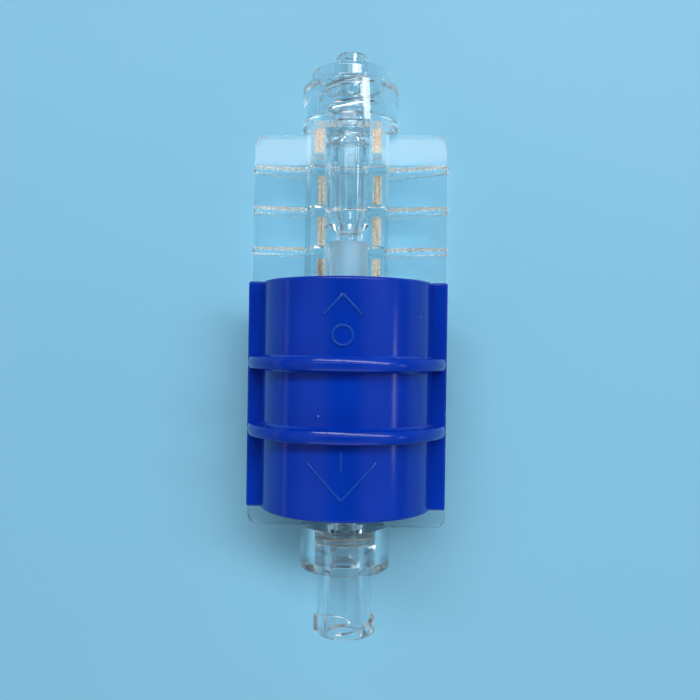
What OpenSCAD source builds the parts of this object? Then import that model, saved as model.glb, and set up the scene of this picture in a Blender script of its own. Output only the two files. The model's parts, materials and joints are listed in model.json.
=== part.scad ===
// In-line slide valve with luer lock ends.
// A soft tube lies in an open channel. A sliding cover carries a roller down an
// inclined slot, and the roller pinches the tube shut.
// Origin: centre of the footprint, on the surface that the back ribs stand on.
// +Y runs along the flow axis to the outlet, +Z points out of the front.

/* [Flow axis] */
// Height of the flow axis above the feet of the back ribs
flow_z = 6.8; // [6.6:0.1:7.4]
// Length from the inlet mouth to the outlet tip
overall_len = 73; // [73:0.5:78]

/* [Side wings] */
// Upper end of the wings, towards the outlet
wing_top_y = 26.65; // [26.4:0.05:26.7]
// Lower end of the wings, towards the inlet
wing_bottom_y = -23.15; // [-24:0.05:-23]
// Width across both wings at the upper end
wing_w_top = 24.4; // [23:0.1:25]
// Width across both wings at the lower end
wing_w_bottom = 25.2; // [24:0.1:26]
// Thickness of a wing
wing_t = 1.7; // [1.2:0.1:2]
// Front face of the wings, measured from the flow axis
wing_face_z = -0.3; // [-0.5:0.05:-0.2]
// Radius of the outer corners
wing_corner_r = 1.2; // [0.6:0.1:2]

/* [Channel box] */
// Width of the box
box_w = 9.9; // [9.8:0.1:10.2]
// Front face of the box, measured from the flow axis
box_front_z = 6.1; // [5.9:0.1:6.3]
// Width of the channel that the tube lies in
channel_w = 5.2; // [5.2:0.1:5.4]
// Thickness of the channel floor
floor_t = 1.7; // [1.2:0.1:2]
// Depth of the guide groove in each outer face of the box
groove_d = 0.4; // [0.3:0.05:0.5]

/* [Back ribs] */
// Number of ribs
rib_count = 9; // [7:1:9]
// Distance between ribs
rib_pitch = 5.25; // [5:0.05:5.3]
// Thickness of a rib
rib_t = 1; // [0.8:0.1:1.4]
// Width across a rib
rib_w = 25.2; // [24.8:0.1:25.4]

/* [Slider] */
// Length of the slider
slider_len = 28.25; // [27:0.25:28.5]
// Upper end of the slider in the open position
slider_top_y = 7.75; // [7:0.25:8]
// Outer radius of the half round cover
cover_r = 10.8; // [10.4:0.1:11]
// Wall of the cover
cover_t = 1.25; // [1:0.05:1.5]
// Outer radius of the two grip bands
band_r = 12.5; // [12:0.1:12.6]
// Width of a grip band along the slider
band_w = 1.4; // [1:0.1:2]
// Travel from open to shut
travel = 18.5; // [17:0.5:18.5]

/* [Pinch roller] */
// Radius of the roller
roller_r = 2.3; // [2.2:0.1:2.4]
// Radius of its axle
axle_r = 0.6; // [0.5:0.05:0.65]
// How far the roller comes down over the travel
roller_drop = 3.65; // [3:0.05:3.7]

/* [Tube] */
// Outer radius of the soft tube
tube_r = 2.5; // [2.4:0.05:2.5]
// Inner radius of the soft tube, which is also the radius of both nozzles
nozzle_r = 1.55; // [1.5:0.05:1.7]

/* [Luer ends] */
// Outer radius of the male tip at its end
tip_r = 1.975; // [1.95:0.005:2]
// Radius of the female mouth
mouth_r = 2.15; // [2.13:0.005:2.17]
// Outer radius of the inlet barrel
barrel_r = 3.4; // [3.3:0.05:3.45]
// Outer radius of the thread lugs on the inlet
lug_r = 3.915; // [3.85:0.005:3.92]
// Inner radius of the lock collar, at the bottom of its thread
collar_bore_r = 4; // [3.98:0.01:4.1]
// Outer radius of the lower part of the lock collar
collar_r = 6.05; // [5.8:0.05:6.2]
// Outer radius of the upper part of the lock collar
collar_top_r = 5; // [4.8:0.05:5.2]
// Radius of the inlet socket and of the hub flange
socket_r = 5.6; // [5.4:0.1:5.8]

/* [Hidden] */
$fn = 96;

// running gaps and small common sizes
play = 0.08;
gap = 0.2;
beyond = 1;
luer_slope = 0.03;
thread_lead = 5;

// ends along the flow axis
tip_y = overall_len / 2;
mouth_y = -overall_len / 2;
box_bottom_y = -21.6;
socket_end_y = -26.9;
hub_flange_t = 1.3;

// channel
channel_floor_z = -channel_w / 2;
box_back_z = channel_floor_z - floor_t;
end_wall_t = 0.75;
pocket_w = 1.15;
pocket_x = channel_w / 2 + 0.3;
pocket_depth = 1;
pocket_rows = 3;
pocket_land = 1.65;
top_pocket_roof_z = box_front_z - 1.2;
groove_z = 2.2;
groove_h = 1.6;

// back ribs: the lowest points of the bow are cut flat to stand on
rib_top_y = 22.5;
rib_edge_z = -2.8;
bow_z = -flow_z - 0.2;
bow_depth = rib_edge_z - bow_z;
bow_r = (pow(rib_w / 2, 2) + pow(bow_depth, 2)) / (2 * bow_depth);

// slider
slider_bottom_y = slider_top_y - slider_len;
slider_base_z = wing_face_z + gap;
rail_top_z = 1.8;
rail_half_w = 12.45;
cover_inner_r = cover_r - cover_t;
band_ys = [slider_top_y - 9.45 - band_w, slider_top_y - 17.7 - band_w];
leg_t = 1.1;
leg_x = box_w / 2 + gap;
leg_inset = 1;
mark_h = 0.15;
mark_line = 0.3;

// roller path
roller_y = -12.5;
roller_z = tube_r + 0.35 + roller_r;
roller_w = 4.8;
axle_half = 6;
slot_r = axle_r + play;
slot_angle = atan2(roller_drop, travel);
slot_len = sqrt(pow(travel, 2) + pow(roller_drop, 2));

// outlet core stations along the flow axis
tube_top_y = 12.9;
tube_bottom_y = -20.9;
nozzle_grip = 4;
chamber_end_y = 15.1;
chamber_r = channel_w / 2;
lumen_r = 1;
bead_y = 28.35;
bead_r = 2.8;
stem_r = 2.4;

// inlet stack: nozzle flange, strainer, seal, then the hub's spigot
bush_r = 3.9;
nozzle_flange_t = 0.7;
strainer_t = 0.3;
seal_t = 0.7;
nozzle_flange_y = -23;
strainer_y = nozzle_flange_y - nozzle_flange_t;
seal_y = strainer_y - strainer_t;
spigot_y = seal_y - seal_t;
hub_bore_r = 1.85;
lug_w = 0.8;
lug_turns = 0.36;
lug_angle = 71;

// lock collar stations along the flow axis
collar_y = 26.8;
collar_floor_t = 1.4;
collar_rim_y = 34.35;
collar_shoulder_y = 31.5;
collar_round = 1;
thread_minor_r = 3.5;
collar_thread_w = 0.9;
collar_thread_angle = 40;

// places children at the height of the flow axis
module on_axis() {
    translate([0, 0, flow_z]) children();
}

// turns a profile of [radius, station] points about the flow axis
module lathe(profile) {
    rotate([-90, 0, 0]) rotate_extrude() polygon(profile);
}

// a rod along the flow axis
module rod(r, from_y, to_y) {
    translate([0, from_y, 0]) rotate([-90, 0, 0]) cylinder(r = r, h = to_y - from_y);
}

// a block given by its low and high corners
module block(low, high) {
    translate(low) cube(high - low);
}

// both left and right copies
module both_sides() {
    children();
    mirror([1, 0, 0]) children();
}

// points of an arc from angle a to angle b
function arc(r, a, b, steps, centre = [0, 0]) =
    [for (i = [0:steps]) centre + r * [cos(a + (b - a) * i / steps), sin(a + (b - a) * i / steps)]];

// [radius, station] corners of a thread's section, whose height fades at both ends. The low
// side of a footed ridge stays level while its high side climbs.
function ridge_section(root_r, crest_r, root_w, crest_w, share, climb, footed) =
    let (top_r = root_r + (crest_r - root_r) * max(0.1, min(1, 6 * share, 6 * (1 - share))),
        foot = footed ? 0 : climb)
    [[root_r, foot - root_w / 2], [top_r, foot - crest_w / 2],
    [top_r, climb + crest_w / 2], [root_r, climb + root_w / 2]];

// two thread ridges opposite each other, each wound from a first station over part of a turn
module thread_ridges(root_r, crest_r, root_w, crest_w, first_y, turns, first_angle, footed = false) {
    steps = ceil(turns * 40);
    points = [for (i = [0:steps]) let (share = i / steps, turned = turns * share)
        for (c = ridge_section(root_r, crest_r, root_w, crest_w, share, thread_lead * turned, footed))
            [c[0] * cos(360 * turned), c[0] * sin(360 * turned), c[1]]];
    sides = [for (i = [0:steps - 1], k = [0:3]) let (n = (k + 1) % 4)
        [4 * i + k, 4 * i + n, 4 * (i + 1) + n, 4 * (i + 1) + k]];
    ends = [[3, 2, 1, 0], [for (k = [0:3]) 4 * steps + k]];
    faces = concat(sides, ends);
    outward = crest_r > root_r ? faces : [for (f = faces) [for (k = [len(f) - 1:-1:0]) f[k]]];
    translate([0, first_y, 0]) rotate([-90, 0, 0]) for (start = [0, 180])
        rotate([0, 0, first_angle + start]) polyhedron(points, outward);
}

// ---- housing ----

module wing_outline() {
    r = wing_corner_r;
    top = wing_w_top / 2;
    low = wing_w_bottom / 2;
    polygon(concat(
        arc(r, 0, 90, 8, [top - r, wing_top_y - r]),
        arc(r, 90, 180, 8, [-top + r, wing_top_y - r]),
        arc(r, 180, 270, 8, [-low + r, wing_bottom_y + r]),
        arc(r, 270, 360, 8, [low - r, wing_bottom_y + r])));
}

module side_wings() {
    color("lightcyan", 0.4) on_axis() difference() {
        translate([0, 0, wing_face_z - wing_t]) linear_extrude(wing_t) wing_outline();
        block([-box_w / 2, box_bottom_y, -flow_z], [box_w / 2, wing_top_y + beyond, flow_z]);
        rod(socket_r, socket_end_y, box_bottom_y);
    }
}

// inclined slot for the axle, with a snap-in mouth above its upper end
module roller_slot(side) {
    x = side < 0 ? -box_w / 2 - beyond : channel_w / 2 - beyond;
    reach = box_w / 2 - channel_w / 2 + 2 * beyond;
    translate([x, roller_y, roller_z]) {
        rotate([0, 90, 0]) cylinder(r = slot_r, h = reach);
        rotate([-slot_angle, 0, 0]) {
            translate([0, 0, -slot_r]) cube([reach, slot_len, 2 * slot_r]);
            translate([0, slot_len, 0]) rotate([0, 90, 0]) cylinder(r = slot_r, h = reach);
        }
        translate([0, -axle_r + gap / 2, 0]) cube([reach, 2 * axle_r - gap, box_front_z]);
    }
}

// one hollow in the back of each box wall
module core_pocket(from_y, to_y, roof_z) {
    both_sides() block([pocket_x, from_y, box_back_z - beyond], [pocket_x + pocket_w, to_y, roof_z]);
}

// a deep hollow above the top rib, and shallow ones between the ribs below it
module core_pockets() {
    core_pocket(rib_top_y + rib_t / 2, wing_top_y - end_wall_t, top_pocket_roof_z);
    for (i = [1:pocket_rows]) {
        low_y = rib_top_y + rib_t / 2 - i * rib_pitch;
        core_pocket(low_y, low_y + rib_pitch - pocket_land, box_back_z + pocket_depth);
    }
}

module channel_box() {
    color("lightcyan", 0.5) on_axis() difference() {
        block([-box_w / 2, box_bottom_y, box_back_z], [box_w / 2, wing_top_y, box_front_z]);
        block([-channel_w / 2, box_bottom_y + end_wall_t, channel_floor_z],
            [channel_w / 2, wing_top_y - end_wall_t, box_front_z + beyond]);
        rod(chamber_r, 0, wing_top_y + beyond);
        rod(nozzle_r, box_bottom_y - beyond, 0);
        both_sides() block([box_w / 2 - groove_d, box_bottom_y - beyond, groove_z],
            [box_w, wing_top_y - end_wall_t, groove_z + groove_h]);
        for (side = [-1, 1]) roller_slot(side);
        core_pockets();
    }
}

module grip_rib(y) {
    intersection() {
        translate([0, y - rib_t / 2, bow_z + bow_r]) rotate([-90, 0, 0])
            cylinder(r = bow_r, h = rib_t, $fn = 200);
        difference() {
            block([-rib_w / 2, y - rib_t / 2, -flow_z], [rib_w / 2, y + rib_t / 2, wing_face_z - wing_t]);
            block([-box_w / 2, y - rib_t, box_back_z], [box_w / 2, y + rib_t, 0]);
        }
    }
}

module grip_ribs() {
    color("lightcyan", 0.5) on_axis() for (i = [0:rib_count - 1]) grip_rib(rib_top_y - i * rib_pitch);
}

module inlet_socket() {
    color("lightcyan", 0.5) on_axis() difference() {
        rod(socket_r, socket_end_y, box_bottom_y);
        rod(bush_r, socket_end_y - beyond, nozzle_flange_y);
        rod(nozzle_r, nozzle_flange_y - beyond, box_bottom_y + beyond);
    }
}

// ---- flow path ----

module outlet_core() {
    bore_top_y = wing_top_y - 1.2;
    bore_step_y = 21.3;
    cone_y = 16.6;
    tip_base_r = tip_r + luer_slope * (tip_y - bead_y);
    color("lightcyan", 0.4) on_axis() lathe([
        [lumen_r, tip_y], [tip_r - 0.15, tip_y], [tip_r, tip_y - 0.2],
        [tip_base_r, bead_y + 1], [bead_r, bead_y + 0.6], [bead_r, bead_y], [stem_r, bead_y - 0.05],
        [stem_r, wing_top_y], [chamber_r, wing_top_y], [chamber_r, chamber_end_y],
        [nozzle_r, chamber_end_y - 1.1], [nozzle_r, tube_top_y - nozzle_grip],
        [lumen_r, tube_top_y - nozzle_grip], [lumen_r, cone_y - 1],
        [1.45, cone_y], [1.45, bore_step_y], [1.65, bore_step_y], [1.65, bore_top_y],
        [lumen_r, bore_top_y + 0.5]]);
}

module pinch_tube() {
    color("whitesmoke", 0.8) on_axis() difference() {
        rod(tube_r, tube_bottom_y + play, tube_top_y);
        rod(nozzle_r, tube_bottom_y - beyond, tube_top_y + beyond);
    }
}

module inlet_nozzle() {
    color("white", 0.6) on_axis() difference() {
        union() {
            rod(bush_r, strainer_y, nozzle_flange_y);
            rod(nozzle_r, nozzle_flange_y - nozzle_flange_t / 2, tube_bottom_y + nozzle_grip);
        }
        rod(lumen_r, strainer_y - beyond, tube_bottom_y + nozzle_grip + beyond);
    }
}

module strainer_disc() {
    color("gainsboro") on_axis() rod(bush_r, seal_y, strainer_y);
}

module inlet_seal() {
    color("silver", 0.7) on_axis() difference() {
        rod(bush_r, spigot_y, seal_y);
        rod(bush_r - 1.5, spigot_y - beyond, seal_y + beyond);
    }
}

module inlet_hub() {
    flange_y = socket_end_y - hub_flange_t;
    taper_y = flange_y - 0.3;
    edge = 0.35;
    color("lightcyan", 0.4) on_axis() lathe([
        [mouth_r, mouth_y], [barrel_r, mouth_y], [barrel_r, flange_y], [socket_r - edge, flange_y],
        [socket_r, flange_y + edge], [socket_r, socket_end_y], [bush_r, socket_end_y],
        [bush_r, spigot_y], [hub_bore_r, spigot_y], [hub_bore_r, taper_y],
        [mouth_r - luer_slope * (taper_y - mouth_y), taper_y]]);
}

// the lugs stand on the mouth and climb away from it
module inlet_lugs() {
    color("lightcyan", 0.5) on_axis() thread_ridges(barrel_r / cos(360 / 40 / 2), lug_r, lug_w, lug_w / 2,
        mouth_y + lug_w / 2, lug_turns, lug_angle, true);
}

// ---- lock collar ----

module lock_collar() {
    floor_y = collar_y + collar_floor_t;
    color("lightcyan", 0.4) on_axis() lathe(concat(
        [[stem_r + play, collar_y], [collar_r - 0.2, collar_y], [collar_r, collar_y + 0.2]],
        arc(collar_round, 0, 90, 6, [collar_r - collar_round, collar_shoulder_y]),
        [[collar_top_r, collar_shoulder_y + collar_round]],
        arc(0.6, 0, 90, 5, [collar_top_r - 0.6, collar_rim_y - 0.6]),
        [[collar_bore_r + 0.15, collar_rim_y], [collar_bore_r, collar_rim_y - 0.2],
        [collar_bore_r, floor_y], [stem_r + play, floor_y]]));
}

module collar_thread() {
    first_y = collar_y + collar_floor_t + collar_thread_w / 2;
    turns = (collar_rim_y - 0.4 - collar_thread_w / 2 - first_y) / thread_lead;
    color("lightcyan", 0.5) on_axis() thread_ridges(collar_bore_r, thread_minor_r, collar_thread_w,
        collar_thread_w / 3, first_y, turns, collar_thread_angle);
}

// ---- slider ----

module upper_half() {
    block([-2 * cover_r, slider_bottom_y - beyond, slider_base_z],
        [2 * cover_r, slider_top_y + beyond, 2 * cover_r]);
}

module slider_cover() {
    color("royalblue") on_axis() intersection() {
        difference() {
            rod(cover_r, slider_bottom_y, slider_top_y);
            rod(cover_inner_r, slider_bottom_y - beyond, slider_top_y + beyond);
        }
        upper_half();
    }
}

module side_rails() {
    color("royalblue") on_axis() difference() {
        both_sides() block([cover_inner_r, slider_bottom_y, slider_base_z],
            [rail_half_w, slider_top_y, rail_top_z]);
        rod(cover_r, slider_bottom_y - beyond, slider_top_y + beyond);
        for (y = band_ys) rod(band_r + beyond, y, y + band_w);
    }
}

module grip_bands() {
    color("royalblue") on_axis() for (y = band_ys) intersection() {
        difference() {
            rod(band_r, y, y + band_w);
            rod(cover_r, y - beyond, y + band_w + beyond);
        }
        upper_half();
    }
}

// guide legs hang from the cover, and their hooks run in the grooves of the box
module guide_leg() {
    low_y = slider_bottom_y + leg_inset;
    high_y = slider_top_y - leg_inset;
    difference() {
        union() {
            intersection() {
                block([leg_x, low_y, slider_base_z], [leg_x + leg_t, high_y, cover_r]);
                rod(cover_inner_r, low_y, high_y);
            }
            block([leg_x - groove_d - gap / 2, low_y, groove_z + gap],
                [leg_x, high_y, groove_z + groove_h - gap]);
        }
        block([0, roller_y - slot_r, roller_z - roller_drop - slot_r - gap],
            [cover_r, roller_y + slot_r, roller_z + slot_r]);
    }
}

module guide_legs() {
    color("royalblue") on_axis() both_sides() guide_leg();
}

// thin raised lines: an arrow with a ring for shut, a wider arrow with a bar for open
module chevron(y, direction, leg_len) {
    for (side = [-1, 1]) translate([0, y]) rotate(side * (90 + 47 * direction))
        translate([-mark_line / 2, 0]) square([mark_line, leg_len]);
}

module mark_shapes() {
    chevron(slider_top_y - 2.1, 1, 3.2);
    translate([0, slider_top_y - 6.8]) difference() {
        circle(r = 1.3);
        circle(r = 1.3 - mark_line);
    }
    translate([-mark_line / 2, slider_top_y - 22.3]) square([mark_line, 2.2]);
    chevron(slider_bottom_y + 2.6, -1, 5.9);
}

module direction_marks() {
    color("royalblue") on_axis() intersection() {
        difference() {
            rod(cover_r + mark_h, slider_bottom_y, slider_top_y);
            rod(cover_r, slider_bottom_y - beyond, slider_top_y + beyond);
        }
        linear_extrude(2 * cover_r) mark_shapes();
    }
}

// ---- pinch roller ----

module roller_axle() {
    color("gray") on_axis() translate([-axle_half, roller_y, roller_z]) rotate([0, 90, 0])
        cylinder(r = axle_r, h = 2 * axle_half);
}

module pinch_roller() {
    color("white") on_axis() translate([-roller_w / 2, roller_y, roller_z]) rotate([0, 90, 0])
        difference() {
            cylinder(r = roller_r, h = roller_w);
            translate([0, 0, -beyond]) cylinder(r = axle_r + play / 2, h = roller_w + 2 * beyond);
        }
}

side_wings();
channel_box();
grip_ribs();
inlet_socket();
outlet_core();
pinch_tube();
inlet_nozzle();
strainer_disc();
inlet_seal();
inlet_hub();
inlet_lugs();
lock_collar();
collar_thread();
slider_cover();
side_rails();
grip_bands();
guide_legs();
direction_marks();
roller_axle();
pinch_roller();
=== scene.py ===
"""Looks of an in-line slide valve with luer lock ends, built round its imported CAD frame."""
import json
import math

import bmesh
import bpy
from mathutils import Matrix, Vector


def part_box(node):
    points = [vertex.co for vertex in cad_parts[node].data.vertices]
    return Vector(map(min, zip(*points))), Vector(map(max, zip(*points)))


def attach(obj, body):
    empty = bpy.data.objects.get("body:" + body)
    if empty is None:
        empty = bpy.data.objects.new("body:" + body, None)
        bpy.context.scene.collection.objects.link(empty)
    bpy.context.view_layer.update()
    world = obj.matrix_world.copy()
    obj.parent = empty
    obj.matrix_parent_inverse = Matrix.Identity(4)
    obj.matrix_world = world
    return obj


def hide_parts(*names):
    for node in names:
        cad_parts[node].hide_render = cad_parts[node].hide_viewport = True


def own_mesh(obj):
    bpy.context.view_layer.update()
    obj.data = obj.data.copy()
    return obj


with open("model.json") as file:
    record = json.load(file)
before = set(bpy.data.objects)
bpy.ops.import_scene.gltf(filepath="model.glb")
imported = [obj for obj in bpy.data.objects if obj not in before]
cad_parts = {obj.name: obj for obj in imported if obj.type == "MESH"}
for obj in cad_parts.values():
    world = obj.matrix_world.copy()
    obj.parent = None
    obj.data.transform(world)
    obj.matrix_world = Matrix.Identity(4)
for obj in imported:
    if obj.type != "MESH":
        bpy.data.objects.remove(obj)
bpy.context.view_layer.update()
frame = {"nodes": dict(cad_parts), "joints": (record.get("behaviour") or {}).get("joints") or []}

MM = 0.001
THREAD_LEAD = 5.0
SEGMENTS = 128


# ---- places taken from the frame, in millimetres, measured from the flow axis ----

def low(node):
    """The low corner of a CAD node's box."""
    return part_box(node)[0] / MM


def high(node):
    """The high corner of a CAD node's box."""
    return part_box(node)[1] / MM


FLOW_Z = (low("pinch_tube").z + high("pinch_tube").z) / 2
TIP_Y = high("outlet_core").y
MOUTH_Y = low("inlet_hub").y
BOX_HALF = high("channel_box").x
BOX_TOP_Y = high("channel_box").y
BOX_FRONT = high("channel_box").z - FLOW_Z
BOX_LOW_Y = low("channel_box").y
BOX_BACK = low("channel_box").z
WING_BACK = low("side_wings").z
TOP_RIB_Y = high("grip_ribs").y
SLIDER_LOW = low("slider_cover").y
SLIDER_HIGH = high("slider_cover").y
COVER_R = high("slider_cover").z - FLOW_Z
SLIDER_BASE = low("slider_cover").z - FLOW_Z
BAND_R = high("grip_bands").z - FLOW_Z
RAIL_HALF = high("side_rails").x
RAIL_TOP = high("side_rails").z - FLOW_Z
SOCKET_R = high("inlet_socket").x
SOCKET_END = low("inlet_socket").y
ROLLER_Y = (low("pinch_roller").y + high("pinch_roller").y) / 2
ROLLER_Z = (low("pinch_roller").z + high("pinch_roller").z) / 2 - FLOW_Z
NOZZLE_R = 1.55
LUMEN_R = 1.0
SPIGOT_R = 3.87
GAP = 0.02
FURTHEST = {joint["name"]: joint["range_m"][1] / MM for joint in frame["joints"] if "range_m" in joint}
TRAVEL = FURTHEST["slider_travel"]


# ---- mesh tools ----

def make_object(name, mesh):
    piece = bpy.data.objects.new(name, mesh)
    bpy.context.scene.collection.objects.link(piece)
    return piece


def from_bmesh(name, bm):
    bmesh.ops.recalc_face_normals(bm, faces=bm.faces)
    mesh = bpy.data.meshes.new(name)
    bm.to_mesh(mesh)
    bm.free()
    return make_object(name, mesh)


def rounded(corners, steps=5):
    """A closed outline from (radius, station, fillet) corners, with an arc where there is a fillet."""
    outline = []
    count = len(corners)
    for i, (r, y, fillet) in enumerate(corners):
        here = Vector((r, y))
        if not fillet:
            outline.append(here)
            continue
        before = Vector(corners[i - 1][:2]) - here
        after = Vector(corners[(i + 1) % count][:2]) - here
        half = before.angle(after) / 2
        reach = min(fillet / math.tan(half), 0.49 * before.length, 0.49 * after.length)
        radius = reach * math.tan(half)
        centre = here + (before.normalized() + after.normalized()).normalized() * radius / math.sin(half)
        start = here + before.normalized() * reach - centre
        end = here + after.normalized() * reach - centre
        sweep = start.angle_signed(end)
        for k in range(steps + 1):
            outline.append(centre + Matrix.Rotation(-sweep * k / steps, 2) @ start)
    return outline


def ring_point(radius, station, turn):
    """A point at an angle about the flow axis, in metres."""
    return radius * math.cos(turn) * MM, station * MM, (FLOW_Z + radius * math.sin(turn)) * MM


def skin(bm, rings):
    """Joins each ring of points to the next one."""
    for a, b in zip(rings, rings[1:]):
        for k in range(len(a)):
            n = (k + 1) % len(a)
            bm.faces.new((a[k], a[n], b[n], b[k]))


def cap_ends(bm, rings):
    for ring in (rings[0], rings[-1]):
        bm.faces.new(ring)


def lathe(name, corners, segments=SEGMENTS):
    """Turns a closed outline of (radius, station, fillet) corners about the flow axis."""
    outline = rounded(corners)
    bm = bmesh.new()
    turns = [2 * math.pi * i / segments for i in range(segments)]
    rings = [[bm.verts.new(ring_point(p.x, p.y, turn)) for p in outline] for turn in turns]
    skin(bm, rings + rings[:1])
    return from_bmesh(name, bm)


def half_lathe(name, corners, base, segments=SEGMENTS):
    """Turns a closed outline over the front half only, with straight feet down to base."""
    outline = rounded(corners)
    bm = bmesh.new()
    turns = [math.pi * i / segments for i in range(segments + 1)]
    rings = [[bm.verts.new(ring_point(p.x, p.y, turn)) for p in outline] for turn in turns]
    foot_z = (FLOW_Z + base) * MM
    for side, at in ((1, 0), (-1, len(rings))):
        rings.insert(at, [bm.verts.new((side * p.x * MM, p.y * MM, foot_z)) for p in outline])
    skin(bm, rings)
    cap_ends(bm, rings)
    return from_bmesh(name, bm)


def block(name, corner_a, corner_b, radius=0.0, steps=3):
    """A block between two corners measured from the flow axis, with rounded edges."""
    bm = bmesh.new()
    bmesh.ops.create_cube(bm, size=1)
    a, b = Vector(corner_a), Vector(corner_b)
    for v in bm.verts:
        v.co = Vector([(a[k] + b[k]) / 2 + v.co[k] * abs(b[k] - a[k]) for k in range(3)])
        v.co = Vector((v.co.x, v.co.y, v.co.z + FLOW_Z)) * MM
    if radius:
        bmesh.ops.bevel(bm, geom=bm.edges[:], offset=radius * MM, segments=steps, profile=0.5,
                        affect="EDGES")
    return from_bmesh(name, bm)


def ridge(name, root_r, crest_r, root_w, crest_w, first_y, turns, start, footed=False):
    """One thread ridge wound round the flow axis, fading out at both ends.

    A footed ridge keeps its low side level.
    """
    steps_per_turn, tip_fillet, least_fade, fade_rate = 90, 0.1, 0.04, 6
    steps = math.ceil(turns * steps_per_turn)
    bm = bmesh.new()
    rings = []
    for i in range(steps + 1):
        share = i / steps
        turn = start + 2 * math.pi * turns * share
        climb = THREAD_LEAD * turns * share
        foot = 0 if footed else climb
        from_end = min(1.0, fade_rate * share, fade_rate * (1 - share))
        fade = max(least_fade, math.sin(from_end * math.pi / 2))
        top_r = root_r + (crest_r - root_r) * fade
        section = rounded([(root_r, foot - root_w / 2, 0), (top_r, foot - crest_w / 2, tip_fillet),
                           (top_r, climb + crest_w / 2, tip_fillet), (root_r, climb + root_w / 2, 0)], 2)
        rings.append([bm.verts.new(ring_point(p.x, first_y + p.y, -turn)) for p in section])
    skin(bm, rings)
    cap_ends(bm, rings)
    return from_bmesh(name, bm)


def apply_modifiers(piece):
    """Makes the piece's mesh what its modifiers show, and removes them."""
    bpy.context.view_layer.update()
    graph = bpy.context.evaluated_depsgraph_get()
    mesh = bpy.data.meshes.new_from_object(piece.evaluated_get(graph))
    piece.modifiers.clear()
    piece.data = mesh
    return piece


def combine(piece, others):
    """Joins the other objects to the piece as one solid, and removes them."""
    for other in others:
        step = piece.modifiers.new("join", "BOOLEAN")
        step.operation = "UNION"
        step.solver = "EXACT"
        step.object = other
        step.use_self = True
    apply_modifiers(piece)
    for other in others:
        bpy.data.objects.remove(other)
    return piece


def cad_copy(node, name):
    """A clean copy of a CAD node's mesh, with its flat faces whole again."""
    bm = bmesh.new()
    bm.from_mesh(frame["nodes"][node].data)
    same_place, same_plane = 1e-7, 0.002
    bmesh.ops.remove_doubles(bm, verts=bm.verts, dist=same_place)
    bmesh.ops.dissolve_limit(bm, angle_limit=same_plane, verts=bm.verts, edges=bm.edges)
    return from_bmesh(name, bm)


def ease_edges(piece, width, steps=2, angle=30):
    """Rounds the edges that are sharper than an angle in degrees."""
    bevel = piece.modifiers.new("edges", "BEVEL")
    bevel.width = width * MM
    bevel.segments = steps
    bevel.limit_method = "ANGLE"
    bevel.angle_limit = math.radians(angle)
    bevel.use_clamp_overlap = True
    return apply_modifiers(piece)


def smooth(piece, angle=35):
    """Smooth shading that keeps flat faces flat and creases sharp."""
    for face in piece.data.polygons:
        face.use_smooth = True
    piece.data.set_sharp_from_angle(angle=math.radians(angle))
    weighted = piece.modifiers.new("normals", "WEIGHTED_NORMAL")
    weighted.mode = "FACE_AREA"
    weighted.weight = 100
    weighted.keep_sharp = True
    return apply_modifiers(piece)


def finish_piece(piece, material, body, slot, *nodes):
    """Gives a piece its material, its body, and the CAD nodes that it replaces."""
    piece.data.materials.clear()
    piece.data.materials.append(material)
    smooth(piece)
    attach(piece, body)
    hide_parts(*nodes)
    return piece


# ---- materials ----

def fill_ramp(node, stops):
    """Sets a colour ramp's (position, colour) stops."""
    ends = node.color_ramp.elements
    while len(ends) < len(stops):
        ends.new(0.5)
    for end, (at, colour) in zip(ends, stops):
        end.position = at
        end.color = (*colour, 1)


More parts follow.
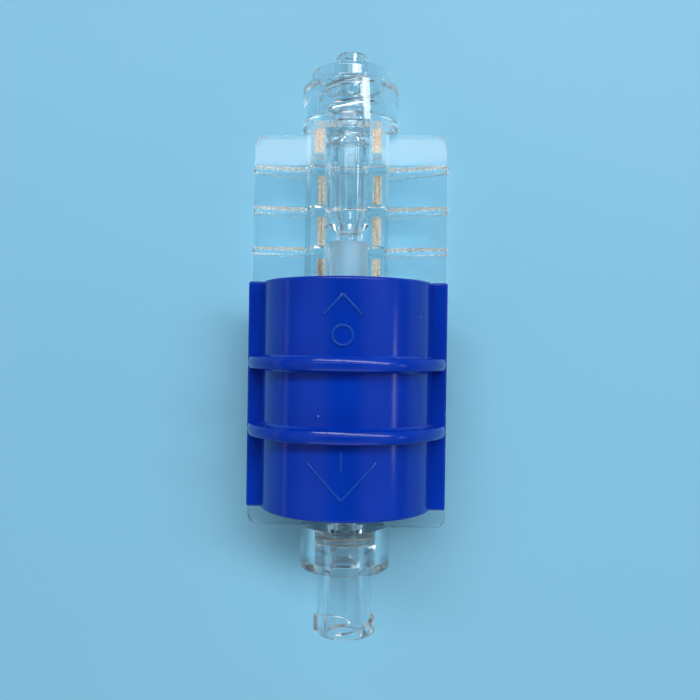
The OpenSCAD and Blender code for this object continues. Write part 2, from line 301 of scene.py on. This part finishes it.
class Nodes:
    """A material's node tree, with short calls for the nodes that the materials share."""

    def __init__(self, name):
        self.material = bpy.data.materials.new(name)
        self.material.use_nodes = True
        self.tree = self.material.node_tree
        self.tree.nodes.clear()
        self.output = self.tree.nodes.new("ShaderNodeOutputMaterial")
        self.shader = self.tree.nodes.new("ShaderNodeBsdfPrincipled")
        self.link(self.shader.outputs[0], self.output.inputs["Surface"])
        self.place = self.tree.nodes.new("ShaderNodeTexCoord").outputs["Object"]

    def link(self, source, target):
        self.tree.links.new(source, target)

    def stretched(self, scale):
        mapping = self.tree.nodes.new("ShaderNodeMapping")
        mapping.inputs["Scale"].default_value = scale
        self.link(self.place, mapping.inputs["Vector"])
        return mapping.outputs[0]

    def noise(self, scale, detail=3.0, stretch=None, rough=0.5):
        node = self.tree.nodes.new("ShaderNodeTexNoise")
        node.inputs["Scale"].default_value = scale
        node.inputs["Detail"].default_value = detail
        node.inputs["Roughness"].default_value = rough
        self.link(self.stretched(stretch) if stretch else self.place, node.inputs["Vector"])
        return node.outputs["Fac"]

    def ramp(self, source, stops):
        node = self.tree.nodes.new("ShaderNodeValToRGB")
        fill_ramp(node, stops)
        self.link(source, node.inputs[0])
        return node.outputs[0]

    def spread(self, source, at_low, at_high):
        node = self.tree.nodes.new("ShaderNodeMapRange")
        node.inputs["To Min"].default_value = at_low
        node.inputs["To Max"].default_value = at_high
        self.link(source, node.inputs[0])
        return node.outputs[0]

    def bump(self, source, height, strength=1.0, onto=None):
        node = self.tree.nodes.new("ShaderNodeBump")
        node.inputs["Distance"].default_value = height * MM
        node.inputs["Strength"].default_value = strength
        self.link(source, node.inputs["Height"])
        if onto is not None:
            self.link(onto, node.inputs["Normal"])
        return node.outputs[0]

    def set(self, **values):
        for name, value in values.items():
            self.shader.inputs[name.replace("_", " ")].default_value = value

    def drive(self, name, source):
        self.link(source, self.shader.inputs[name])

    def pass_lamps(self, tint):
        """Lets lamp light through, with a slight tint, so that what lies behind the piece is lit."""
        path = self.tree.nodes.new("ShaderNodeLightPath")
        clear = self.tree.nodes.new("ShaderNodeBsdfTransparent")
        clear.inputs["Color"].default_value = (*tint, 1)
        mix = self.tree.nodes.new("ShaderNodeMixShader")
        self.link(path.outputs["Is Shadow Ray"], mix.inputs[0])
        self.link(self.shader.outputs[0], mix.inputs[1])
        self.link(clear.outputs[0], mix.inputs[2])
        self.link(mix.outputs[0], self.output.inputs["Surface"])


def clear_plastic(name, tint_low, tint_high, wave):
    """Polished clear moulding: faint flow streaks, a slow surface wave and fine scuffs."""
    m = Nodes(name)
    m.set(Transmission_Weight=1.0, IOR=1.57, Coat_Weight=0.0)
    m.drive("Base Color", m.ramp(m.noise(300, 3, (1, 0.25, 1)), [(0.3, tint_low), (0.7, tint_high)]))
    m.drive("Roughness", m.spread(m.noise(1800, 4), 0.0, 0.045))
    slow = m.bump(m.noise(260, 1, (1, 0.5, 1)), wave)
    m.drive("Normal", m.bump(m.noise(5200, 2), 0.0015, 1.0, slow))
    m.pass_lamps((0.88, 0.90, 0.90))
    return m.material


def amber_pocket():
    """The cored pockets' eroded faces, which show warm streaks along the flow axis."""
    m = Nodes("amber_pocket")
    m.set(Transmission_Weight=0.42, IOR=1.57)
    streaks = m.noise(2600, 3, (1, 0.06, 0.1), 0.7)
    m.drive("Base Color", m.ramp(streaks, [(0.33, (0.16, 0.09, 0.05)), (0.43, (0.62, 0.40, 0.24)),
                                           (0.55, (0.95, 0.76, 0.56)), (0.68, (0.66, 0.38, 0.20))]))
    m.drive("Roughness", m.spread(m.noise(3000, 3), 0.1, 0.4))
    m.drive("Normal", m.bump(streaks, 0.03))
    return m.material


def painted_edge_highlight():
    """Rounded rib edges, where the moulding scatters light; their pale warm colour is a painted highlight
    for that light.
    """
    m = Nodes("rib_edge_painted_highlight")
    m.set(Transmission_Weight=0.62, IOR=1.57)
    cloud = m.noise(1500, 3, (0.3, 1, 1))
    # Painted highlight: the pale warm base colour stands in for the light carried out to the edges, not a
    # colour of the plastic.
    m.drive("Base Color", m.ramp(cloud, [(0.35, (0.80, 0.74, 0.66)), (0.6, (1.0, 0.99, 0.96))]))
    m.drive("Roughness", m.spread(m.noise(2400, 3), 0.12, 0.4))
    m.pass_lamps((0.9, 0.9, 0.9))
    return m.material


def silicone(name, clarity, tint_low, tint_high, rough_low, rough_high):
    """Soft clear rubber with a slightly clouded colour and fine grain along its length."""
    m = Nodes(name)
    m.set(Transmission_Weight=clarity, IOR=1.41)
    m.drive("Base Color", m.ramp(m.noise(420, 3), [(0.3, tint_low), (0.75, tint_high)]))
    m.drive("Roughness", m.spread(m.noise(2400, 4), rough_low, rough_high))
    m.drive("Normal", m.bump(m.noise(3600, 3, (1, 0.3, 1)), 0.006))
    m.pass_lamps((0.6, 0.62, 0.63))
    return m.material


def blue_plastic(name, deep, light):
    """Cobalt moulded plastic: slight flow marks, a fine orange peel and a few specks of dust."""
    m = Nodes(name)
    m.set(IOR=1.5, Specular_IOR_Level=0.32)
    flow = m.ramp(m.noise(130, 3, (1, 0.45, 1)), [(0.25, deep), (0.75, light)])
    specks = m.tree.nodes.new("ShaderNodeTexVoronoi")
    specks.inputs["Scale"].default_value = 330
    specks.inputs["Randomness"].default_value = 1.0
    m.link(m.place, specks.inputs["Vector"])
    dust = m.ramp(specks.outputs["Distance"], [(0.030, (1, 1, 1)), (0.045, (0, 0, 0))])
    mix = m.tree.nodes.new("ShaderNodeMix")
    mix.data_type = "RGBA"
    mix.inputs["B"].default_value = (0.16, 0.26, 0.50, 1)
    m.link(flow, mix.inputs["A"])
    m.link(dust, mix.inputs["Factor"])
    m.drive("Base Color", mix.outputs["Result"])
    m.drive("Roughness", m.spread(m.noise(900, 4), 0.10, 0.22))
    m.drive("Normal", m.bump(m.noise(2600, 2), 0.004, 1.0, m.bump(m.noise(230, 1), 0.02)))
    return m.material


def acetal():
    """White engineering plastic with a fine matt grain."""
    m = Nodes("white_acetal")
    m.set(IOR=1.48)
    m.drive("Base Color", m.ramp(m.noise(500, 3), [(0.3, (0.78, 0.79, 0.78)), (0.7, (0.86, 0.87, 0.86))]))
    m.drive("Roughness", m.spread(m.noise(1500, 3), 0.35, 0.5))
    m.drive("Normal", m.bump(m.noise(3000, 3), 0.004))
    return m.material


def steel():
    """Drawn steel, with its fine lines along the pin."""
    m = Nodes("drawn_steel")
    m.set(Metallic=1.0)
    drawn = m.noise(700, 3, (0.1, 1, 1))
    m.drive("Base Color", m.ramp(drawn, [(0.3, (0.50, 0.50, 0.51)), (0.7, (0.64, 0.64, 0.65))]))
    m.drive("Roughness", m.spread(m.noise(4000, 3, (0.06, 1, 1)), 0.18, 0.4))
    m.drive("Normal", m.bump(m.noise(5000, 2, (0.05, 1, 1)), 0.003))
    return m.material


def monofilament():
    """Translucent thread of the strainer's weave."""
    m = Nodes("mesh_thread")
    m.set(Transmission_Weight=0.7, IOR=1.5)
    m.drive("Base Color", m.ramp(m.noise(1200, 2), [(0.3, (0.72, 0.73, 0.72)), (0.7, (0.88, 0.88, 0.87))]))
    m.drive("Roughness", m.spread(m.noise(3000, 2), 0.3, 0.45))
    return m.material


def floor_paint():
    """Plain pale blue, slightly uneven."""
    m = Nodes("pale_floor")
    m.drive("Base Color", m.ramp(m.noise(6, 3), [(0.3, (0.22, 0.56, 0.79)), (0.7, (0.25, 0.59, 0.82))]))
    m.drive("Roughness", m.spread(m.noise(40, 3), 0.5, 0.6))
    return m.material


CLEAR = clear_plastic("clear_body", (0.83, 0.90, 0.925), (0.90, 0.95, 0.965), 0.012)
CLEAR_ENDS = clear_plastic("clear_ends", (0.85, 0.91, 0.93), (0.92, 0.96, 0.97), 0.008)
AMBER = amber_pocket()
EDGE_HIGHLIGHT = painted_edge_highlight()
# The tube's blue tint is painted light: blue picked up from its surroundings, not the rubber's own colour.
SILICONE_PAINTED_BLUE = silicone("silicone", 0.85, (0.62, 0.84, 0.97), (0.72, 0.90, 0.99), 0.25, 0.42)
SEAL = silicone("clear_seal", 1.0, (0.93, 0.96, 0.97), (0.98, 0.99, 0.99), 0.05, 0.16)
BLUE = blue_plastic("blue_plastic", (0.0001, 0.028, 0.360), (0.0002, 0.042, 0.490))
# The marks' lighter blue is a painted highlight for the light that their raised tops catch.
BLUE_MARK_HIGHLIGHT = blue_plastic("blue_mark_painted_highlight", (0.002, 0.052, 0.40), (0.004, 0.075, 0.50))
ACETAL = acetal()
STEEL = steel()
THREAD = monofilament()


# ---- the clear body ----

def back_ribs():
    """The bowed ribs with round edges, their roots sunk into the wings and the box that they grow from."""
    ribs = cad_copy("grip_ribs", "back_ribs")
    into_wing, into_box, near, edge = 0.5, 0.2, 0.02, 0.3
    for v in ribs.data.vertices:
        x, z = v.co.x / MM, v.co.z / MM
        if abs(z - WING_BACK) < near:
            v.co.z += into_wing * MM
        elif abs(z - BOX_BACK) < near and abs(x) < BOX_HALF + near:
            v.co.z += into_box * MM
        if abs(abs(x) - BOX_HALF) < near:
            v.co.x -= math.copysign(into_box * MM, x)
    return ease_edges(ribs, edge, 3)


def clear_body():
    """Wings, channel box, back ribs and inlet socket are one moulding, joined and with eased edges."""
    names = ("channel_box", "side_wings", "inlet_socket")
    parts = [cad_copy(n, n + "_raw") for n in names]
    body = combine(parts[0], parts[1:])
    body.name = "clear_body"
    ease_edges(body, 0.12, 2, 40)
    combine(body, [back_ribs()])
    finish_piece(body, CLEAR, "housing", "clear_plastic", *names, "grip_ribs")
    # Slot 2 carries the painted edge highlight.
    for number, material, belongs in ((1, AMBER, in_pocket), (2, EDGE_HIGHLIGHT, on_round_edge)):
        body.data.materials.append(material)
        for face in body.data.polygons:
            if belongs(face):
                face.material_index = number
    return body


def in_pocket(face):
    """Whether a face of the clear body is a floor or an end of a cored pocket above the slider."""
    pocket_low, pocket_high, pocket_depth, roof, top_land = 2.85, 4.1, 1.0, 1.2, 0.7
    x, y, z = face.center / MM
    if not (pocket_low < abs(x) < pocket_high and SLIDER_HIGH < y < BOX_TOP_Y - top_land):
        return False
    above_top_rib = y >= TOP_RIB_Y + 0.05
    reach = BOX_FRONT + FLOW_Z - roof - BOX_BACK if above_top_rib else pocket_depth
    return 0.1 < z - BOX_BACK < reach + 0.1 and abs(face.normal.x) < 0.5


def on_round_edge(face):
    """Whether a face of the clear body is part of a rounded edge of a rib, a wing or the box, where the
    painted edge highlight goes.
    """
    near, rim = 0.02, 0.15
    x, y, z = face.center / MM
    if z < WING_BACK - near and abs(x) > BOX_HALF and 0.15 < abs(face.normal.y) < 0.98:
        return True
    outer = abs(x) > BOX_HALF - rim or z > FLOW_Z + BOX_FRONT - rim
    slanted = max(abs(c) for c in face.normal) < 0.97
    return outer and slanted and z > WING_BACK and y > BOX_LOW_Y + 0.2


# ---- flow path ----

def outlet_core():
    """Male luer tip, stem, chamber and nozzle, turned as one clear piece."""
    tip_r, root_r, flange_r, stem_r, chamber_r = 1.97, 2.22, 2.8, 2.4, 2.57
    root_y, flange_top, flange_base, stem_top = 29.3, 28.95, 28.35, 28.3
    cone_top, cone_end, nozzle_end = 15.1, 14.0, 8.95
    cell_low_r, cell_high_r, cell_step = 1.45, 1.65, 21.3
    core = lathe("outlet_core_clear", [
        (LUMEN_R, TIP_Y, 0.1), (tip_r, TIP_Y, 0.18), (root_r, root_y, 0.2), (flange_r, flange_top, 0.15),
        (flange_r, flange_base, 0.15), (stem_r, stem_top, 0.05), (stem_r, BOX_TOP_Y + GAP, 0.05),
        (chamber_r, BOX_TOP_Y + GAP, 0.05), (chamber_r, cone_top, 0.35), (NOZZLE_R - GAP, cone_end, 0.3),
        (NOZZLE_R - GAP, nozzle_end, 0.15), (LUMEN_R, nozzle_end, 0.1), (LUMEN_R, 15.5, 0.2),
        (cell_low_r, 16.6, 0.3), (cell_low_r, cell_step, 0.05), (cell_high_r, cell_step, 0.05),
        (cell_high_r, 25.4, 0.2), (LUMEN_R, 26.0, 0.1)])
    return finish_piece(core, CLEAR_ENDS, "housing", "clear_bonded", "outlet_core")


def soft_tube():
    """Silicone tube, wider where it is stretched over each nozzle. The roller shuts it near the outlet."""
    top = high("pinch_tube").y
    bottom = low("pinch_tube").y
    free_r, stretched_r, stretched_len, free_from = 2.44, 2.5, 3.6, 5
    held_bore, free_bore, held_len, free_bore_from = NOZZLE_R + GAP, NOZZLE_R - 0.05, 4, 4.6
    tube = lathe("soft_tube_whole", [
        (held_bore, bottom, 0.1), (stretched_r, bottom, 0.25), (stretched_r, bottom + stretched_len, 0.4),
        (free_r, bottom + free_from, 0.4), (free_r, top - free_from, 0.4),
        (stretched_r, top - stretched_len, 0.4), (stretched_r, top, 0.25), (held_bore, top, 0.1),
        (held_bore, top - held_len, 0.3), (free_bore, top - free_bore_from, 0.3),
        (free_bore, bottom + free_bore_from, 0.3), (held_bore, bottom + held_len, 0.3)])
    slice_len, slice_count = 1.2, 8
    pinch_y = ROLLER_Y + TRAVEL
    first = pinch_y - slice_len * slice_count / 2
    last = pinch_y + slice_len * slice_count / 2
    tube_length(tube, "soft_tube_lower", bottom - 1, first)
    tube_length(tube, "soft_tube_upper", last, top + 1)
    for i in range(slice_count):
        start = first + i * slice_len
        piece = tube_length(tube, f"soft_tube_pinch_{i + 1}", start, start + slice_len)
        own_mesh(piece)
    bpy.data.objects.remove(tube)


def tube_length(tube, name, from_y, to_y):
    """The stretch of the tube between two stations, open where it joins the next stretch."""
    bm = bmesh.new()
    bm.from_mesh(tube.data)
    for y, side in ((from_y, -1), (to_y, 1)):
        everything = bm.verts[:] + bm.edges[:] + bm.faces[:]
        bmesh.ops.bisect_plane(bm, geom=everything, plane_co=(0, y * MM, 0), plane_no=(0, side, 0),
                               clear_outer=True)
    return finish_piece(from_bmesh(name, bm), SILICONE_PAINTED_BLUE, "housing", "silicone", "pinch_tube")


def inlet_nozzle():
    """Thin disc in the socket with the nozzle that holds the tube's lower end."""
    base, tip = low("inlet_nozzle").y, high("inlet_nozzle").y
    disc_top, lead_in = base + 0.68, 0.5
    nozzle = lathe("inlet_nozzle_clear", [
        (LUMEN_R, base + GAP, 0.05), (SPIGOT_R, base + GAP, 0.1), (SPIGOT_R, disc_top, 0.1),
        (NOZZLE_R - GAP, disc_top, 0.1), (NOZZLE_R - GAP, tip - lead_in, 0.1), (NOZZLE_R - 0.2, tip, 0.1),
        (LUMEN_R, tip, 0.05)])
    return finish_piece(nozzle, CLEAR_ENDS, "housing", "clear_bonded", "inlet_nozzle")


def inlet_seal():
    """Soft flat washer behind the hub."""
    base, top = low("inlet_seal").y + GAP, high("inlet_seal").y - GAP
    hole_r, rim_r, fillet = 2.42, 3.86, 0.2
    seal = lathe("inlet_seal_ring", [(hole_r, base, fillet), (rim_r, base, fillet), (rim_r, top, fillet),
                                     (hole_r, top, fillet)])
    return finish_piece(seal, SEAL, "housing", "seal", "inlet_seal")


def strainer():
    """A ring that holds a plain weave of fine threads."""
    y = (low("strainer_disc").y + high("strainer_disc").y) / 2
    ring_r, rim_r, half_depth, fillet = 3.3, 3.86, 0.14, 0.1
    ring = lathe("strainer_weave", [
        (ring_r, y - half_depth, fillet), (rim_r, y - half_depth, fillet),
        (rim_r, y + half_depth, fillet), (ring_r, y + half_depth, fillet)])
    bm = bmesh.new()
    bm.from_mesh(ring.data)
    pitch, thread_r, reach = 0.3, 0.05, 3.4
    count = int(2 * reach / pitch)
    for i in range(count + 1):
        across = -reach + i * pitch
        half = math.sqrt(max(0.0, reach ** 2 - across ** 2))
        if half < pitch:
            continue
        for turned in (False, True):
            weave_thread(bm, y, across, half, pitch, thread_r, math.pi * (i % 2 + turned), turned)
    bpy.data.objects.remove(ring)
    weave = from_bmesh("strainer_weave", bm)
    return finish_piece(weave, THREAD, "housing", "mesh", "strainer_disc")


def weave_thread(bm, y, across, half, pitch, thread_r, phase, turned):
    """One thread that runs over and under the threads that cross it."""
    sides = 6
    steps = int(2 * half / pitch * 2)
    rings = []
    for s in range(steps + 1):
        along = -half + 2 * half * s / steps
        lift = thread_r * math.sin(math.pi * along / pitch + phase)
        section = []
        for k in range(sides):
            angle = math.pi * k / (sides / 2)
            side, up = thread_r * math.cos(angle), thread_r * math.sin(angle)
            x, z = (across + side, along) if turned else (along, across + side)
            section.append(bm.verts.new((x * MM, (y + lift + up) * MM, (FLOW_Z + z) * MM)))
        rings.append(section)
    skin(bm, rings)
    cap_ends(bm, rings)


def inlet_hub():
    """Female luer barrel with its flange, spigot and two thread lugs."""
    flange_y = SOCKET_END - 1.3
    flange_top = SOCKET_END - GAP
    spigot_y = high("inlet_hub").y - GAP
    mouth_r, barrel_r, bore_r, taper_r, taper_end = 2.15, 3.4, 1.85, 1.91, flange_y - 0.3
    hub = lathe("inlet_hub_clear", [
        (mouth_r, MOUTH_Y, 0.1), (barrel_r, MOUTH_Y, 0.15), (barrel_r, flange_y, 0.35),
        (SOCKET_R, flange_y, 0.4), (SOCKET_R, flange_top, 0.12), (SPIGOT_R, flange_top, 0.05),
        (SPIGOT_R, spigot_y, 0.1), (bore_r, spigot_y, 0.1), (bore_r, taper_end, 0.02),
        (taper_r, taper_end, 0.02)])
    root_r, crest_r, lug_w, lug_turns, start = 3.3, 3.915, 0.8, 0.36, math.radians(71)
    lug_y = MOUTH_Y + lug_w / 2 + GAP
    lugs = [ridge("lug", root_r, crest_r, lug_w, lug_w / 2, lug_y, lug_turns, start + k * math.pi, True)
            for k in range(2)]
    combine(hub, lugs)
    return finish_piece(hub, CLEAR_ENDS, "housing", "clear_bonded", "inlet_hub", "inlet_lugs")


def lock_collar():
    """Turning collar with a rounded shoulder and a two-start thread inside."""
    base, rim = low("lock_collar").y, high("lock_collar").y
    outer = high("lock_collar").x
    shoulder, floor_y = base + 5.7, base + 1.4
    hole_r, neck_r, bore_r = 2.48, 5.0, 4.0
    collar = lathe("lock_collar_clear", [
        (hole_r, base, 0.05), (outer, base, 0.25), (outer, shoulder, 1.0), (neck_r, shoulder, 0.35),
        (neck_r, rim, 0.55), (bore_r, rim, 0.2), (bore_r, floor_y, 0.2), (hole_r, floor_y, 0.05)])
    root_r, crest_r, width, start, rim_land = 4.1, 3.5, 0.9, math.radians(40), 0.45
    first = floor_y + width / 2 + 0.05
    turns = (rim - rim_land - width / 2 - first) / THREAD_LEAD
    threads = [ridge("thread", root_r, crest_r, width, width / 3, first, turns, start + k * math.pi)
               for k in range(2)]
    combine(collar, threads)
    return finish_piece(collar, CLEAR_ENDS, "collar", "clear_bonded", "lock_collar", "collar_thread")


# ---- slider ----

def blue_piece(piece, *nodes):
    return finish_piece(piece, BLUE, "slider", "blue_plastic", *nodes)


def slider_cover():
    """Half-round shell with straight feet and softened rims."""
    wall, inner_edge, outer_edge = 1.25, 0.15, 0.35
    inner = COVER_R - wall
    cover = half_lathe("slider_cover_shell", [
        (inner, SLIDER_LOW, inner_edge), (COVER_R, SLIDER_LOW, outer_edge),
        (COVER_R, SLIDER_HIGH, outer_edge), (inner, SLIDER_HIGH, inner_edge)], SLIDER_BASE)
    return blue_piece(cover, "slider_cover")


def grip_band(name, y, width):
    """A half ring with a crowned face and a flared foot where it meets the cover."""
    foot, sunk_r, foot_r, shoulder_r, shoulder = 0.3, COVER_R - 0.3, COVER_R + GAP, BAND_R - 0.3, 0.1
    crown_r, crown_lean, crown_steps = 1.45, math.radians(28), 12
    middle = y + width / 2
    leans = [-crown_lean + 2 * crown_lean * k / crown_steps for k in range(crown_steps + 1)]
    crown = [(BAND_R - crown_r + crown_r * math.cos(a), middle + crown_r * math.sin(a), 0) for a in leans]
    return half_lathe(name, [
        (sunk_r, y - foot, 0), (foot_r, y - foot, 0), (COVER_R + foot, y, foot), (shoulder_r, y, shoulder),
        *crown, (shoulder_r, y + width, shoulder), (COVER_R + foot, y + width, foot),
        (foot_r, y + width + foot, 0), (sunk_r, y + width + foot, 0)], SLIDER_BASE)


def grip_bands():
    """The two raised bands that a thumb pushes against."""
    width = 1.4
    lower = grip_band("grip_bands_pair", low("grip_bands").y, width)
    upper = grip_band("upper_band", high("grip_bands").y - width, width)
    combine(lower, [upper])
    return blue_piece(lower, "grip_bands")


def side_rails():
    """Rails along both feet of the cover, their inner sides sunk into it."""
    sunk, edge = 0.5, 0.28
    rails = [block("rail", (side * (COVER_R - sunk), SLIDER_LOW, SLIDER_BASE),
                   (side * RAIL_HALF, SLIDER_HIGH, RAIL_TOP), edge, 4) for side in (-1, 1)]
    combine(rails[0], rails[1:])
    rails[0].name = "side_rails_pair"
    return blue_piece(rails[0], "side_rails")


def guide_legs():
    """Legs inside the cover that hook under the box and carry the axle."""
    legs = cad_copy("guide_legs", "guide_legs_pair")
    ease_edges(legs, 0.1, 2)
    return blue_piece(legs, "guide_legs")


def direction_marks():
    """Raised symbols for shut, a ring, and for open, a bar, each with its arrow."""
    marks = cad_copy("direction_marks", "direction_marks_raised")
    ease_edges(marks, 0.05, 2)
    # Their lighter blue material is a painted highlight.
    return finish_piece(marks, BLUE_MARK_HIGHLIGHT, "slider", "blue_plastic", "direction_marks")


def pinch_roller():
    """Crowned roller with a shallow recess round the axle on each face."""
    half, crown_r, edge_r = 2.4, 2.3, 2.18
    hole_r, recess_r, recess_rim_r, recess_y = 0.64, 1.3, 1.45, half - 0.35
    roller = lathe("pinch_roller_wheel", [
        (hole_r, -recess_y, 0.05), (recess_r, -recess_y, 0.1), (recess_rim_r, -half, 0.1),
        (edge_r, -half, 0.3), (crown_r, 0, 0), (edge_r, half, 0.3), (recess_rim_r, half, 0.1),
        (recess_r, recess_y, 0.1), (hole_r, recess_y, 0.05)])
    turn_to_cross_axis(roller)
    return finish_piece(roller, ACETAL, "roller", "white_plastic", "pinch_roller")


def roller_axle():
    """Pin with rounded ends."""
    half = high("roller_axle").x
    pin_r, centre_r, edge = 0.6, 0.0001, 0.15
    axle = lathe("roller_axle_pin", [(centre_r, -half, 0), (pin_r, -half, edge), (pin_r, half, edge),
                                     (centre_r, half, 0)])
    turn_to_cross_axis(axle)
    return finish_piece(axle, STEEL, "axle", "steel", "roller_axle")


def turn_to_cross_axis(piece):
    """Moves a piece turned about the flow axis at station 0 onto the roller's axis."""
    to_centre = Matrix.Translation((0, 0, -FLOW_Z * MM))
    place = Matrix.Translation((0, ROLLER_Y * MM, (FLOW_Z + ROLLER_Z) * MM))
    piece.data.transform(place @ Matrix.Rotation(math.pi / 2, 4, "Z") @ to_centre)
    bm = bmesh.new()
    bm.from_mesh(piece.data)
    same_place = 1e-6
    bmesh.ops.remove_doubles(bm, verts=bm.verts, dist=same_place)
    bmesh.ops.recalc_face_normals(bm, faces=bm.faces)
    bm.to_mesh(piece.data)
    bm.free()


# ---- stage, light and camera ----

def floor():
    mesh = bpy.data.meshes.new("floor")
    reach, below = 5, 0.00002
    mesh.from_pydata([(-reach, -reach, 0), (reach, -reach, 0), (reach, reach, 0), (-reach, reach, 0)], [],
                     [(0, 1, 2, 3)])
    plane = make_object("floor", mesh)
    mesh.materials.append(floor_paint())
    plane.location.z = -below


def area_light(name, place, size, power, colour=(1, 1, 1)):
    """A rectangular lamp that faces the part."""
    data = bpy.data.lights.new(name, "AREA")
    data.shape = "RECTANGLE"
    data.size, data.size_y = size
    data.energy = power
    data.color = colour
    lamp = bpy.data.objects.new(name, data)
    lamp.location = place
    aim = (Vector((0, 0, 0.005)) - Vector(place)).to_track_quat("-Z", "Y")
    lamp.rotation_euler = aim.to_euler()
    bpy.context.scene.collection.objects.link(lamp)


def lights():
    area_light("back_softbox", (0.13, 0.40, 0.60), (1.3, 0.12), 5.2)
    area_light("ceiling_panel", (0.0, 0.186, 0.62), (0.9, 0.046), 0.32)
    area_light("front_fill", (0.0, -0.55, 0.36), (0.8, 0.3), 0.7)
    area_light("left_strip", (-0.45, 0.03, 0.06), (0.5, 0.05), 0.05, (0.80, 0.92, 1.0))
    area_light("right_strip", (0.44, -0.03, 0.196), (0.10, 0.005), 0.045, (0.85, 0.95, 1.0))
    studio_world()


def studio_world():
    """Dim room for reflections, brighter half way up. The camera itself sees a plain pale backdrop."""
    world = bpy.data.worlds.new("studio")
    bpy.context.scene.world = world
    world.use_nodes = True
    tree = world.node_tree
    tree.nodes.clear()
    place = tree.nodes.new("ShaderNodeTexCoord").outputs["Generated"]
    split = tree.nodes.new("ShaderNodeSeparateXYZ")
    ramp = tree.nodes.new("ShaderNodeValToRGB")
    fill_ramp(ramp, [(0.0, (0.36, 0.42, 0.46)), (0.2, (0.13, 0.15, 0.16)), (0.6, (0.60, 0.63, 0.66)),
                     (0.88, (0.60, 0.60, 0.60)), (0.955, (0.12, 0.12, 0.12)), (1.0, (0.07, 0.07, 0.07))])
    room = tree.nodes.new("ShaderNodeBackground")
    room.inputs["Strength"].default_value = 0.5
    backdrop = tree.nodes.new("ShaderNodeBackground")
    backdrop.inputs["Color"].default_value = (0.50, 0.64, 0.72, 1)
    path = tree.nodes.new("ShaderNodeLightPath")
    mix = tree.nodes.new("ShaderNodeMixShader")
    out = tree.nodes.new("ShaderNodeOutputWorld")
    tree.links.new(place, split.inputs[0])
    tree.links.new(split.outputs["Z"], ramp.inputs[0])
    tree.links.new(ramp.outputs[0], room.inputs["Color"])
    tree.links.new(path.outputs["Is Camera Ray"], mix.inputs[0])
    tree.links.new(room.outputs[0], mix.inputs[1])
    tree.links.new(backdrop.outputs[0], mix.inputs[2])
    tree.links.new(mix.outputs[0], out.inputs["Surface"])


def camera():
    """Straight down from close by. The valve leans a little on its bowed ribs and is turned slightly."""
    lean, turn = math.radians(2.95), math.radians(0.82)
    distance, off_x, off_y, pivot_y = 102.45, 0.295, -0.524, -0.2
    data = bpy.data.cameras.new("camera")
    data.sensor_width, data.lens, data.clip_start = 36, 41.49, 0.005
    view = bpy.data.objects.new("camera", data)
    pivot = Matrix.Translation((0, pivot_y * MM, FLOW_Z * MM))
    turned = (Matrix.Rotation(lean, 3, "Y") @ Matrix.Rotation(turn, 3, "Z")).to_4x4()
    view.matrix_world = pivot @ turned @ Matrix.Translation((off_x * MM, off_y * MM, distance * MM))
    bpy.context.scene.collection.objects.link(view)
    bpy.context.scene.camera = view


clear_body()
outlet_core()
soft_tube()
inlet_nozzle()
inlet_seal()
strainer()
inlet_hub()
lock_collar()
slider_cover()
grip_bands()
side_rails()
guide_legs()
direction_marks()
pinch_roller()
roller_axle()
floor()
lights()
camera()

bpy.context.scene.view_settings.view_transform = "Standard"
bpy.context.scene.cycles.max_bounces = 24
bpy.context.scene.cycles.glossy_bounces = 16
bpy.context.scene.cycles.transmission_bounces = 24
bpy.context.scene.cycles.transparent_max_bounces = 24
